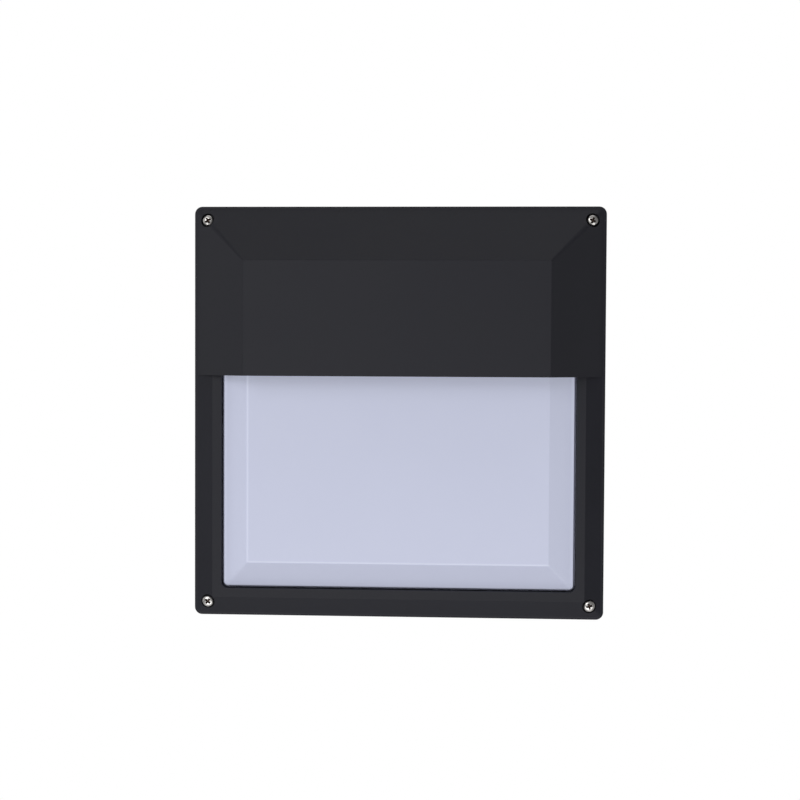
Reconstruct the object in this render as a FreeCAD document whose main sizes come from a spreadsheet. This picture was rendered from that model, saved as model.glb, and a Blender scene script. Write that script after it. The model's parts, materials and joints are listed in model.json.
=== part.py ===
"""Outdoor wall lantern: a square die-cast box with a hooded front cover and an opal diffuser.

Frame: millimetres, +X to the right, +Z up, the wall is the plane y = 0 and the front faces -Y.
The origin is the middle of the wall face.  "Depth" below is the distance in front of the wall,
so a point at depth 70 has y = -70.
"""
import FreeCAD, Part
import math
import os
import re
import Sketcher

DIMENSIONS = {
    # front cover: outline, rim, sloping band round the window
    "outline_half": 140.0,
    "outline_corner": 5.2,
    "edge_round": 2.0,
    "cover_back": 55.0,
    "rim_depth": 70.0,
    "cover_wall": 2.8,
    "ridge_half": 126.5,
    "ridge_depth": 76.0,
    "ridge_corner": 1.2,
    "window_half": 120.5,
    "window_corner": 4.2,
    "window_return_depth": 68.5,
    "hollow_half": 128.9,
    "hollow_corner": 18.4,
    "hollow_ceiling": 72.6,
    # hood over the upper part of the window
    "hood_face_half": 101.0,
    "hood_depth": 105.0,
    "hood_lower_edge": 25.0,
    "hood_face_corner": 1.0,
    "hood_side_offset": 4.07,
    "hood_edge_round": 0.7,
    # sealing ring between box and cover
    "seal_half": 130.5,
    "seal_corner": 20.0,
    "groove_half_width": 1.5,
    "groove_floor": 59.5,
    "gasket_half_width": 1.4,
    "tongue_half_width": 1.1,
    "tongue_tip": 63.2,
    # box behind the cover
    "box_back_half": 125.5,
    "box_front_half": 127.0,
    "box_back_corner": 14.0,
    "back_edge_round": 1.5,
    "box_front_corner": 16.0,
    "box_wall": 3.0,
    "flange_half": 135.5,
    "flange_corner": 5.5,
    "flange_depth": 62.0,
    "flange_thickness": 6.0,
    "post_radius": 5.2,
    "post_back": 40.0,
    "post_hole_floor": 44.0,
    "rib_half_width": 2.0,
    # four cover screws, M4
    "screw_place": 130.0,
    "screw_radius": 2.0,
    "screw_thread_bore": 2.05,
    "screw_clearance": 2.25,
    "screw_end": 46.0,
    "screw_seat": 71.0,
    "screw_head_radius": 3.9,
    "screw_head_height": 3.0,
    "screw_head_round": 1.5,
    "cross_half_length": 2.1,
    "cross_half_width": 0.5,
    "cross_floor": 72.2,
    "counterbore_radius": 4.8,
    "counterbore_floor": 69.5,
    "cover_boss_radius": 6.0,
    "cover_boss_back": 62.2,
    "ring_section": 0.7,
    "ring_mean_radius": 2.9,
    # opal diffuser and how it is held in the cover
    "lens_flange_half": 128.5,
    "lens_flange_corner": 18.0,
    "lens_back": 65.0,
    "lens_wall": 2.5,
    "lens_side_half": 119.1,
    "lens_side_corner": 3.0,
    "lens_bevel_depth": 72.0,
    "lens_face_half": 102.0,
    "lens_face_corner": 1.0,
    "lens_face_depth": 79.0,
    "lens_bevel_offset": 6.6,
    "lens_edge_round": 1.0,
    "lens_gasket_outer": 123.2,
    "lens_gasket_inner": 120.7,
    "lens_screw_line": 126.1,
    "lens_screw_place": 62.0,
    "lens_boss_radius": 2.8,
    "lens_screw_radius": 1.5,
    "lens_screw_bore": 1.55,
    "lens_screw_hole": 1.7,
    "lens_screw_top": 71.5,
    "lens_washer_radius": 2.9,
    "lens_washer_thickness": 0.5,
    "lens_screw_head_radius": 2.6,
    "lens_screw_head_height": 1.7,
    # wall fixings and rear cable entry
    "fixing_place": 100.0,
    "fixing_radius": 2.75,
    "fixing_slot_length": 10.0,
    "access_radius": 8.0,
    "entry_down": 85.0,
    "entry_hole": 10.0,
    "entry_ring": 18.0,
    "entry_ring_depth": 5.5,
    "entry_recess": 13.7,
    "entry_recess_depth": 1.6,
    "grommet_flange": 13.3,
    "grommet_waist": 9.9,
    "grommet_bore": 4.0,
    "grommet_nose_radius": 6.5,
    "grommet_nose_depth": 14.0,
    "grommet_flange_front": 7.2,
    # white reflector tray and its screws
    "tray_half": 118.0,
    "tray_corner": 9.0,
    "tray_depth": 8.0,
    "tray_sheet": 1.2,
    "tray_lip_depth": 18.0,
    "tray_screw_across": 50.0,
    "tray_screw_up": 108.0,
    "tray_boss_radius": 4.5,
    "small_screw_radius": 1.5,
    "small_screw_bore": 1.55,
    "small_screw_hole": 1.7,
    "small_head_radius": 2.8,
    "small_head_height": 1.8,
    "tray_entry_radius": 16.0,
    # earth point
    "earth_across": -78.0,
    "earth_up": -45.0,
    "earth_boss_radius": 4.6,
    "earth_boss_depth": 13.0,
    "earth_clearance": 6.5,
    "lug_thickness": 0.9,
    "lug_radius": 4.4,
    "lug_barrel_radius": 2.0,
    "lug_barrel_length": 7.0,
    "washer_radius": 4.3,
    "washer_thickness": 0.8,
    # lampholder and its bracket, lamp axis along +X
    "lamp_depth": 43.0,
    "bracket_left": -111.5,
    "bracket_sheet": 1.5,
    "bracket_half_width": 18.0,
    "bracket_foot_right": -86.0,
    "bracket_top": 61.0,
    "bracket_screw_across": -94.0,
    "bracket_screw_up": 11.0,
    "nut_radius": 3.9,
    "nut_height": 3.0,
    "holder_radius": 21.0,
    "holder_mouth": -56.0,
    "holder_bay_left": -105.0,
    "holder_bay_right": -92.0,
    "holder_bay_half": 14.0,
    "holder_bay_top": 6.0,
    "holder_floor": -86.0,
    "holder_bore": 14.8,
    "sleeve_inner": 13.5,
    "sleeve_outer": 14.3,
    "sleeve_back": -84.0,
    "sleeve_front": -58.0,
    "holder_screw_up": 12.0,
    "terminal_offset": 7.0,
    "terminal_left": -104.0,
    "terminal_right": -93.5,
    "terminal_half": 3.0,
    "terminal_bottom": -8.0,
    "terminal_top": 2.0,
    "terminal_wire_across": -101.2,
    "terminal_screw_across": -96.2,
    # lamp
    "lamp_tip": -84.0,
    "pip_length": 1.5,
    "pip_radius": 4.5,
    "cap_back": -79.0,
    "cap_front": -57.0,
    "cap_radius": 13.1,
    "collar_back_radius": 13.9,
    "collar_front": -20.0,
    "collar_wall": 1.6,
    "board_set_back": 3.0,
    "board_thickness": 1.6,
    "globe_radius": 30.0,
    "globe_wall": 1.4,
    "globe_centre": -4.0,
    # terminal block
    "block_across": -45.0,
    "block_up": -85.0,
    "block_half_length": 12.0,
    "block_pitch": 10.0,
    "block_axis": 16.0,
    "barrel_radius": 4.2,
    "tower_radius": 2.9,
    "tower_top": 23.0,
    "tower_place": 6.0,
    "tube_radius": 2.8,
    "tube_bore": 1.7,
    "clamp_screw_radius": 1.6,
    "clamp_screw_top": 22.0,
    # wires
    "wire_radius": 1.1,
}

document = FreeCAD.newDocument("wall_lantern")
dims = document.addObject("Spreadsheet::Sheet", "dims")
pieces = []
SIGNS = [(-1, -1), (1, -1), (1, 1), (-1, 1)]


def fill_sheet():
    """Every driving dimension is a cell of the sheet with an alias of its own."""
    for row, (name, size) in enumerate(DIMENSIONS.items(), 1):
        dims.set(f"A{row}", name)
        dims.set(f"B{row}", str(size))
        dims.setAlias(f"B{row}", name)
    document.recompute()


def cells(text):
    """An expression in which each dimension's name points at its cell."""
    return re.sub(r"[a-z_]+", lambda word: f"dims.{word[0]}" if word[0] in DIMENSIONS else word[0], text)


def size(text):
    return float(dims.evalExpression(cells(text)))


def bind(thing, prop, text):
    thing.setExpression(prop, cells(text))


def signed(sign, text):
    return f"{sign} * ({text})"


# ---------------------------------------------------------------- sketches

def new_sketch(body, name, offset="0", plane="XZ_Plane"):
    """XZ_Plane sketches look from the front: offset is a depth and pads grow towards the front."""
    sketch = body.newObject("Sketcher::SketchObject", name)
    base = [feature for feature in body.Origin.OriginFeatures if feature.Role == plane][0]
    sketch.AttachmentSupport = [(base, "")]
    sketch.MapMode = "FlatFace"
    bind(sketch, "AttachmentOffset.Base.z", offset)
    return sketch


def hold(sketch, kind, *where_and_text):
    """Add a dimension constraint bound to an expression."""
    *where, text = where_and_text
    index = sketch.addConstraint(Sketcher.Constraint(kind, *where, size(text)))
    bind(sketch, f"Constraints[{index}]", text)


def hold_point(sketch, edge, end, across, up):
    hold(sketch, "DistanceX", -1, 1, edge, end, across)
    hold(sketch, "DistanceY", -1, 1, edge, end, up)


def add_circle(sketch, radius, across="0", up="0"):
    centre = FreeCAD.Vector(size(across), size(up), 0)
    edge = sketch.addGeometry(Part.Circle(centre, FreeCAD.Vector(0, 0, 1), size(radius)), False)
    hold(sketch, "Radius", edge, radius)
    hold_point(sketch, edge, 3, across, up)


def add_outline(sketch, points):
    """Closed outline of straight edges; each corner is bound to its own expressions."""
    places = [FreeCAD.Vector(size(across), size(up), 0) for across, up in points]
    edges = []
    for start, end in zip(places, places[1:] + places[:1]):
        edges.append(sketch.addGeometry(Part.LineSegment(start, end), False))
    for edge, following in zip(edges, edges[1:] + edges[:1]):
        sketch.addConstraint(Sketcher.Constraint("Coincident", edge, 2, following, 1))
    for edge, (across, up) in zip(edges, points):
        hold_point(sketch, edge, 1, across, up)


def add_rectangle(sketch, left, right, bottom, top):
    add_outline(sketch, [(left, bottom), (right, bottom), (right, top), (left, top)])


def add_rounded_square(sketch, half, corner):
    """A square about the origin with its corners rounded."""
    side, radius = size(half), size(corner)
    inner = side - radius
    vector = FreeCAD.Vector
    lines = [(vector(-inner, -side, 0), vector(inner, -side, 0)),
             (vector(side, -inner, 0), vector(side, inner, 0)),
             (vector(inner, side, 0), vector(-inner, side, 0)),
             (vector(-side, inner, 0), vector(-side, -inner, 0))]
    first = sketch.addGeometry([Part.LineSegment(*line) for line in lines], False)[0]
    for turn, (across, up) in enumerate([(1, -1), (1, 1), (-1, 1), (-1, -1)]):
        circle = Part.Circle(vector(across * inner, up * inner, 0), vector(0, 0, 1), radius)
        sketch.addGeometry(Part.ArcOfCircle(circle, (turn - 1) * math.pi / 2, turn * math.pi / 2), False)
    for turn in range(4):
        sketch.addConstraint(Sketcher.Constraint("Tangent", first + turn, 2, first + 4 + turn, 1))
        sketch.addConstraint(Sketcher.Constraint("Tangent", first + 4 + turn, 2, first + (turn + 1) % 4, 1))
        direction = "Vertical" if turn % 2 else "Horizontal"
        sketch.addConstraint(Sketcher.Constraint(direction, first + turn))
    for turn in (1, 2, 3):
        sketch.addConstraint(Sketcher.Constraint("Equal", first + 4, first + 4 + turn))
    hold(sketch, "Radius", first + 4, corner)
    hold_point(sketch, first + 4, 3, f"{half} - ({corner})", f"({corner}) - ({half})")
    hold_point(sketch, first + 6, 3, f"({corner}) - ({half})", f"{half} - ({corner})")


def add_slot(sketch, length, radius, across, up):
    """A level slot with round ends; length is measured over the ends."""
    reach = f"({length}) / 2 - ({radius})"
    left, right = f"{across} - ({reach})", f"{across} + {reach}"
    vector = FreeCAD.Vector
    start, stop = size(left), size(right)
    low, high = size(up) - size(radius), size(up) + size(radius)
    bottom = sketch.addGeometry(Part.LineSegment(vector(start, low, 0), vector(stop, low, 0)), False)
    end = Part.Circle(vector(stop, size(up), 0), vector(0, 0, 1), size(radius))
    right_arc = sketch.addGeometry(Part.ArcOfCircle(end, -math.pi / 2, math.pi / 2), False)
    top = sketch.addGeometry(Part.LineSegment(vector(stop, high, 0), vector(start, high, 0)), False)
    end = Part.Circle(vector(start, size(up), 0), vector(0, 0, 1), size(radius))
    left_arc = sketch.addGeometry(Part.ArcOfCircle(end, math.pi / 2, 3 * math.pi / 2), False)
    ring = [bottom, right_arc, top, left_arc]
    for edge, following in zip(ring, ring[1:] + ring[:1]):
        sketch.addConstraint(Sketcher.Constraint("Tangent", edge, 2, following, 1))
    sketch.addConstraint(Sketcher.Constraint("Equal", right_arc, left_arc))
    hold(sketch, "Radius", right_arc, radius)
    hold_point(sketch, right_arc, 3, right, up)
    hold(sketch, "DistanceX", -1, 1, left_arc, 3, left)


# ---------------------------------------------------------------- features

def new_piece(label, across="0", depth="0", up="0"):
    """A body whose Label is the piece's name, placed at the given point."""
    body = document.addObject("PartDesign::Body", label)
    body.Label = label
    bind(body, "Placement.Base.x", across)
    bind(body, "Placement.Base.y", f"-({depth})")
    bind(body, "Placement.Base.z", up)
    pieces.append(body)
    return body


def pad(body, sketch, length):
    feature = body.newObject("PartDesign::Pad", "pad")
    feature.Profile = sketch
    bind(feature, "Length", length)
    return feature


def pocket(body, sketch, length, forwards=False):
    """Cuts back towards the wall, or forwards when asked; the cut must remove something."""
    document.recompute()
    before = body.Shape.Volume
    feature = body.newObject("PartDesign::Pocket", "pocket")
    feature.Profile = sketch
    feature.Reversed = forwards
    bind(feature, "Length", length)
    document.recompute()
    if body.Shape.Volume > before - 0.01:
        raise RuntimeError(f"{body.Label}: {sketch.Name} cut nothing")
    return feature


def loft(body, back, front, cutting=False):
    kind = "PartDesign::SubtractiveLoft" if cutting else "PartDesign::AdditiveLoft"
    feature = body.newObject(kind, "loft")
    feature.Profile = back
    feature.Sections = [front]
    feature.Ruled = True
    return feature


def turn(body, sketch, axis):
    feature = body.newObject("PartDesign::Revolution", "turn")
    feature.Profile = sketch
    feature.ReferenceAxis = (sketch, [axis])
    feature.Angle = 360
    return feature


def round_edges(body, radius, wanted):
    """Fillet every edge of the body's last feature for which wanted(bound box) is true."""
    document.recompute()
    base = body.Tip
    names = [f"Edge{number}" for number, edge in enumerate(base.Shape.Edges, 1) if wanted(edge.BoundBox)]
    if not names:
        raise RuntimeError(f"{body.Label}: no edge to round")
    feature = body.newObject("PartDesign::Fillet", "rounding")
    feature.Base = (base, names)
    bind(feature, "Radius", radius)
    return feature


def lies_at_depth(box, depth):
    return abs(box.YMin + depth) < 0.001 and abs(box.YMax + depth) < 0.001


def pad_circles(body, name, places, radius, back, front):
    """Round bars from depth back to depth front at each place."""
    sketch = new_sketch(body, name, back)
    for across, up in places:
        add_circle(sketch, radius, across, up)
    return pad(body, sketch, f"({front}) - ({back})")


def cut_circles(body, name, places, radius, back, front):
    sketch = new_sketch(body, name, front)
    for across, up in places:
        add_circle(sketch, radius, across, up)
    return pocket(body, sketch, f"({front}) - ({back})")


def pad_square(body, name, half, corner, back, front):
    sketch = new_sketch(body, name, back)
    add_rounded_square(sketch, half, corner)
    return pad(body, sketch, f"({front}) - ({back})")


def cut_square(body, name, half, corner, back, front):
    sketch = new_sketch(body, name, front)
    add_rounded_square(sketch, half, corner)
    return pocket(body, sketch, f"({front}) - ({back})")


def square_ring(body, name, offset, middle, half_width, corner):
    """Sketch of a ring that runs round the box at the given half side."""
    sketch = new_sketch(body, name, offset)
    add_rounded_square(sketch, f"{middle} + {half_width}", f"{corner} + {half_width}")
    add_rounded_square(sketch, f"{middle} - {half_width}", f"{corner} - {half_width}")
    return sketch


def square_loft(body, name, back, front, cutting=False):
    """Ruled skin between two rounded squares, each given as (half, corner, depth)."""
    sketches = []
    for end, (half, corner, depth) in zip(("back", "front"), (back, front)):
        sketch = new_sketch(body, f"{name}_{end}", depth)
        add_rounded_square(sketch, half, corner)
        sketches.append(sketch)
    return loft(body, *sketches, cutting)


def corners(across, up):
    """The four places at plus and minus across, plus and minus up."""
    return [(signed(side, across), signed(level, up)) for side, level in SIGNS]


def cross_outline(sketch, across="0", up="0"):
    """Plus-shaped recess of a cross-head screw."""
    long, short = "cross_half_length", "cross_half_width"
    steps = [(long, short, 1, -1), (long, short, 1, 1), (short, short, 1, 1), (short, long, 1, 1),
             (short, long, -1, 1), (short, short, -1, 1), (long, short, -1, 1), (long, short, -1, -1),
             (short, short, -1, -1), (short, long, -1, -1), (short, long, 1, -1), (short, short, 1, -1)]
    points = []
    for side, level, right, top in steps:
        points.append((f"{across} + {signed(right, side)}", f"{up} + {signed(top, level)}"))
    add_outline(sketch, points)


def screw_group(label, places, shank, head, levels, head_in_front=True):
    """Identical pan-head screws; levels are the depths of the point, the seat and the head's height."""
    body = new_piece(label)
    point, seat, height = levels
    if head_in_front:
        pad_circles(body, "shank", places, shank, point, seat)
        pad_circles(body, "head", places, head, seat, f"{seat} + ({height})")
        top = size(f"{seat} + ({height})")
    else:
        pad_circles(body, "shank", places, shank, seat, point)
        pad_circles(body, "head", places, head, f"{seat} - ({height})", seat)
        top = size(f"{seat} - ({height})")
    round_edges(body, f"({height}) * 0.45", lambda box: lies_at_depth(box, top))
    return body


# ---------------------------------------------------------------- box

TRAY_PLACES = corners("tray_screw_across", "tray_screw_up")
FIXING_PLACES = corners("fixing_place", "fixing_place")
ENTRY_PLACE = [("0", "-entry_down")]
EARTH_PLACE = [("earth_across", "earth_up")]


def base_housing():
    """Die-cast box: back plate, side walls with draft, flange with seal groove, screw posts."""
    body = new_piece("base_housing")
    square_loft(body, "shell", ("box_back_half", "box_back_corner", "0"),
                ("box_front_half", "box_front_corner", "flange_depth"))
    round_edges(body, "back_edge_round", lambda box: lies_at_depth(box, 0))
    pad_square(body, "flange", "flange_half", "flange_corner",
               "flange_depth - flange_thickness", "flange_depth")
    pad_circles(body, "posts", corners("screw_place", "screw_place"), "post_radius", "post_back",
                "flange_depth - flange_thickness / 2")
    add_post_ribs(body)
    square_loft(body, "hollow", ("box_back_half - box_wall", "box_back_corner - box_wall", "box_wall"),
                ("box_front_half - box_wall", "box_front_corner - box_wall", "flange_depth"), cutting=True)
    groove = square_ring(body, "groove", "flange_depth", "seal_half", "groove_half_width", "seal_corner")
    pocket(body, groove, "flange_depth - groove_floor")
    cut_circles(body, "thread_bores", corners("screw_place", "screw_place"), "screw_thread_bore",
                "post_hole_floor", "flange_depth")
    add_back_plate_details(body)
    return body


def add_post_ribs(body):
    """Each screw post is tied to the box's rounded corner by a diagonal rib."""
    sketch = new_sketch(body, "ribs", "post_back + 3")
    for side, level in SIGNS:
        near, far = "box_back_half - box_back_corner / 2", "screw_place"
        points = [(f"{near} - rib_half_width", f"{near} + rib_half_width"),
                  (f"{near} + rib_half_width", f"{near} - rib_half_width"),
                  (f"{far} + rib_half_width", f"{far} - rib_half_width"),
                  (f"{far} - rib_half_width", f"{far} + rib_half_width")]
        add_outline(sketch, [(signed(side, across), signed(level, up)) for across, up in points])
    pad(body, sketch, "flange_depth - flange_thickness / 2 - post_back - 3")


def add_back_plate_details(body):
    """Tray bosses, earth boss, cable entry and wall-fixing slots of the back plate."""
    pad_circles(body, "tray_bosses", TRAY_PLACES, "tray_boss_radius", "box_wall / 2", "tray_depth")
    pad_circles(body, "earth_boss", EARTH_PLACE, "earth_boss_radius", "box_wall / 2", "earth_boss_depth")
    pad_circles(body, "entry_ring", ENTRY_PLACE, "entry_ring", "box_wall / 2", "entry_ring_depth")
    cut_circles(body, "tray_bores", TRAY_PLACES, "small_screw_bore", "box_wall", "tray_depth")
    cut_circles(body, "earth_bore", EARTH_PLACE, "screw_thread_bore", "box_wall", "earth_boss_depth")
    cut_circles(body, "entry_hole", ENTRY_PLACE, "entry_hole", "0", "entry_ring_depth")
    cut_circles(body, "entry_recess", ENTRY_PLACE, "entry_recess", "0", "entry_recess_depth")
    slots = new_sketch(body, "fixing_slots", "box_wall")
    for across, up in FIXING_PLACES:
        add_slot(slots, "fixing_slot_length", "fixing_radius", across, up)
    pocket(body, slots, "box_wall")


def main_gasket():
    body = new_piece("main_gasket")
    ring = square_ring(body, "ring", "groove_floor", "seal_half", "gasket_half_width", "seal_corner")
    pad(body, ring, "tongue_tip - groove_floor")
    return body


def cable_grommet():
    """Rubber grommet snapped into the rear cable hole, with a tapered nose."""
    body = new_piece("cable_grommet", "0", "0", "-entry_down")
    sketch = new_sketch(body, "section", "0", "XY_Plane")
    profile = [("grommet_bore", "0.2"), ("grommet_flange", "0.2"), ("grommet_flange", "entry_recess_depth"),
               ("grommet_waist", "entry_recess_depth"), ("grommet_waist", "entry_ring_depth"),
               ("grommet_flange", "entry_ring_depth"), ("grommet_flange - 1", "grommet_flange_front"),
               ("grommet_nose_radius", "grommet_nose_depth"), ("grommet_bore", "grommet_nose_depth")]
    add_outline(sketch, [(radius, f"-({depth})") for radius, depth in profile])
    turn(body, sketch, "V_Axis")
    return body


# ---------------------------------------------------------------- front cover

LENS_SCREWS = [(signed(side, "lens_screw_line"), signed(step, "lens_screw_place")) for side, step in SIGNS]
LENS_SCREWS += [(signed(step, "lens_screw_place"), signed(side, "lens_screw_line")) for side, step in SIGNS]


def front_cover():
    """One casting: skirt, rim, sloping band round the window, and the hood over its upper part."""
    body = new_piece("front_cover")
    pad_square(body, "block", "outline_half", "outline_corner", "cover_back", "rim_depth")
    rim = size("rim_depth")
    round_edges(body, "edge_round", lambda box: lies_at_depth(box, rim))
    add_hood(body)
    square_loft(body, "band", ("outline_half - edge_round", "outline_corner - edge_round", "rim_depth"),
                ("ridge_half", "ridge_corner", "ridge_depth"))
    ridge = size("ridge_depth")
    round_edges(body, "hood_edge_round", lambda box: lies_at_depth(box, ridge) and box.ZMin < 0)
    hollow_cover(body)
    add_cover_bosses(body)
    return body


def add_hood(body):
    """A truncated pyramid over the whole rim, cut off level below the hood's lower edge."""
    square_loft(body, "hood", ("outline_half - edge_round", "outline_corner - edge_round", "rim_depth"),
                ("hood_face_half", "hood_face_corner", "hood_depth"))
    front = size("hood_depth")
    round_edges(body, "hood_edge_round", lambda box: lies_at_depth(box, front))
    below = new_sketch(body, "below_hood", "hood_depth + 1")
    add_rectangle(below, "-outline_half - 5", "outline_half + 5", "-outline_half - 5", "hood_lower_edge")
    pocket(body, below, "hood_depth + 1 - rim_depth")


def hollow_cover(body):
    """Open the hood's inside, the window and the space behind the rim."""
    slope = "(outline_half - edge_round - hood_face_half) / (hood_depth - rim_depth)"
    reach = "outline_half - edge_round - hood_side_offset"
    back = (f"{reach} - (ridge_depth - rim_depth) * {slope}", "ridge_corner", "ridge_depth")
    front = (f"{reach} - (hood_depth - cover_wall - rim_depth) * {slope}", "hood_face_corner",
             "hood_depth - cover_wall")
    square_loft(body, "hood_hollow", back, front, cutting=True)
    underside = "rim_depth - cover_wall"
    cut_square(body, "skirt_hollow", "outline_half - cover_wall", "outline_corner - cover_wall",
               "cover_back", underside)
    cut_square(body, "window", "window_half", "window_corner", underside, "ridge_depth")
    trench = new_sketch(body, "trench", "hollow_ceiling")
    add_rounded_square(trench, "hollow_half", "hollow_corner")
    add_rounded_square(trench, "window_half + cover_wall", "window_corner + cover_wall")
    pocket(body, trench, f"hollow_ceiling - ({underside})")
    lip = new_sketch(body, "window_return", underside)
    add_rounded_square(lip, "window_half + cover_wall + 0.5", "window_corner + cover_wall")
    pocket(body, lip, "window_return_depth - rim_depth + cover_wall", forwards=True)
    tongue = square_ring(body, "tongue", "tongue_tip", "seal_half", "tongue_half_width", "seal_corner")
    pad(body, tongue, f"{underside} - tongue_tip")


def add_cover_bosses(body):
    """Corner bosses for the cover screws and small bosses for the diffuser's screws."""
    places = corners("screw_place", "screw_place")
    pad_circles(body, "corner_bosses", places, "cover_boss_radius", "cover_boss_back", "rim_depth - 1")
    cut_circles(body, "screw_holes", places, "screw_clearance", "cover_boss_back", "hood_depth")
    cut_circles(body, "counterbores", places, "counterbore_radius", "counterbore_floor", "hood_depth")
    front = "lens_back + lens_wall"
    pad_circles(body, "lens_bosses", LENS_SCREWS, "lens_boss_radius", front, "hollow_ceiling + 0.5")
    cut_circles(body, "lens_bores", LENS_SCREWS, "lens_screw_bore", front, "hollow_ceiling - 0.6")


def diffuser():
    """Opal moulding: flat flange, short side wall, bevel and flat face, all one thickness."""
    body = new_piece("diffuser")
    pad_square(body, "flange", "lens_flange_half", "lens_flange_corner", "lens_back", "lens_back + lens_wall")
    pad_square(body, "side", "lens_side_half", "lens_side_corner", "lens_back", "lens_bevel_depth")
    square_loft(body, "bevel", ("lens_side_half", "lens_side_corner", "lens_bevel_depth"),
                ("lens_face_half", "lens_face_corner", "lens_face_depth"))
    face = size("lens_face_depth")
    round_edges(body, "lens_edge_round", lambda box: lies_at_depth(box, face))
    slope = "(lens_side_half - lens_face_half) / (lens_face_depth - lens_bevel_depth)"
    inner_start = f"lens_bevel_depth - (lens_bevel_offset - lens_wall) / ({slope})"
    inner_face = f"lens_face_half + lens_wall * {slope} - lens_bevel_offset"
    cut_square(body, "inside", "lens_side_half - lens_wall", "lens_side_corner - lens_wall",
               "lens_back", inner_start)
    square_loft(body, "inner_bevel",
                ("lens_side_half - lens_wall", "lens_side_corner - lens_wall", inner_start),
                (inner_face, "lens_face_corner", "lens_face_depth - lens_wall"), cutting=True)
    cut_circles(body, "screw_holes", LENS_SCREWS, "lens_screw_hole", "lens_back", "lens_back + lens_wall")
    return body


def diffuser_gasket():
    body = new_piece("diffuser_gasket")
    sketch = new_sketch(body, "ring", "lens_back + lens_wall")
    add_rounded_square(sketch, "lens_gasket_outer", "window_corner + cover_wall")
    add_rounded_square(sketch, "lens_gasket_inner", "window_corner")
    pad(body, sketch, "window_return_depth - lens_back - lens_wall")
    return body


def diffuser_fasteners():
    washers = new_piece("diffuser_washers")
    back = "lens_back - lens_washer_thickness"
    pad_circles(washers, "discs", LENS_SCREWS, "lens_washer_radius", back, "lens_back")
    cut_circles(washers, "holes", LENS_SCREWS, "lens_screw_hole", back, "lens_back")
    screw_group("diffuser_screws", LENS_SCREWS, "lens_screw_radius", "lens_screw_head_radius",
                ("lens_screw_top", back, "lens_screw_head_height"), head_in_front=False)


def cover_screw(label, side, level):
    """M4 pan-head screw with a cross recess, standing in one corner of the cover."""
    body = new_piece(label, signed(side, "screw_place"), "0", signed(level, "screw_place"))
    middle = [("0", "0")]
    top = "screw_seat + screw_head_height"
    pad_circles(body, "shank", middle, "screw_radius", "screw_end", "screw_seat")
    pad_circles(body, "head", middle, "screw_head_radius", "screw_seat", top)
    crown = size(top)
    round_edges(body, "screw_head_round", lambda box: lies_at_depth(box, crown))
    recess = new_sketch(body, "cross", top)
    cross_outline(recess)
    pocket(body, recess, f"{top} - cross_floor")
    return body


def cover_screw_ring(label, side, level):
    """Rubber sealing ring under one cover screw's head."""
    ring = document.addObject("Part::Torus", label)
    ring.Label = label
    bind(ring, "Radius1", "ring_mean_radius")
    bind(ring, "Radius2", "ring_section")
    ring.Placement.Rotation = FreeCAD.Rotation(FreeCAD.Vector(1, 0, 0), 90)
    bind(ring, "Placement.Base.x", signed(side, "screw_place"))
    bind(ring, "Placement.Base.y", "-(screw_seat + counterbore_floor) / 2")
    bind(ring, "Placement.Base.z", signed(level, "screw_place"))
    pieces.append(ring)


def cover_fasteners():
    names = {(-1, 1): "top_left", (1, 1): "top_right", (-1, -1): "bottom_left", (1, -1): "bottom_right"}
    for (side, level), name in names.items():
        cover_screw(f"cover_screw_{name}", side, level)
        cover_screw_ring(f"cover_screw_ring_{name}", side, level)


# ---------------------------------------------------------------- tray and earth point

BRACKET_PLACES = [("bracket_screw_across", "bracket_screw_up"), ("bracket_screw_across", "-bracket_screw_up")]
BLOCK_SCREW_PLACES = [("block_across", "block_up - block_pitch / 2"),
                      ("block_across", "block_up + block_pitch / 2")]


def reflector_tray():
    """White sheet-steel tray with a turned-up edge, screwed to the back plate's bosses."""
    body = new_piece("reflector_tray")
    pad_square(body, "outside", "tray_half", "tray_corner", "tray_depth", "tray_lip_depth")
    front = "tray_depth + tray_sheet"
    cut_square(body, "inside", "tray_half - tray_sheet", "tray_corner - tray_sheet", front, "tray_lip_depth")
    cut_circles(body, "screw_holes", TRAY_PLACES, "small_screw_hole", "tray_depth", front)
    cut_circles(body, "access_holes", FIXING_PLACES, "access_radius", "tray_depth", front)
    cut_circles(body, "entry_hole", ENTRY_PLACE, "tray_entry_radius", "tray_depth", front)
    cut_circles(body, "earth_hole", EARTH_PLACE, "earth_clearance", "tray_depth", front)
    cut_circles(body, "bracket_holes", BRACKET_PLACES, "screw_clearance", "tray_depth", front)
    cut_circles(body, "block_holes", BLOCK_SCREW_PLACES, "small_screw_bore", "tray_depth", front)
    screw_group("tray_screws", TRAY_PLACES, "small_screw_radius", "small_head_radius",
                ("box_wall + 0.5", front, "small_head_height"))
    return body


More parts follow.
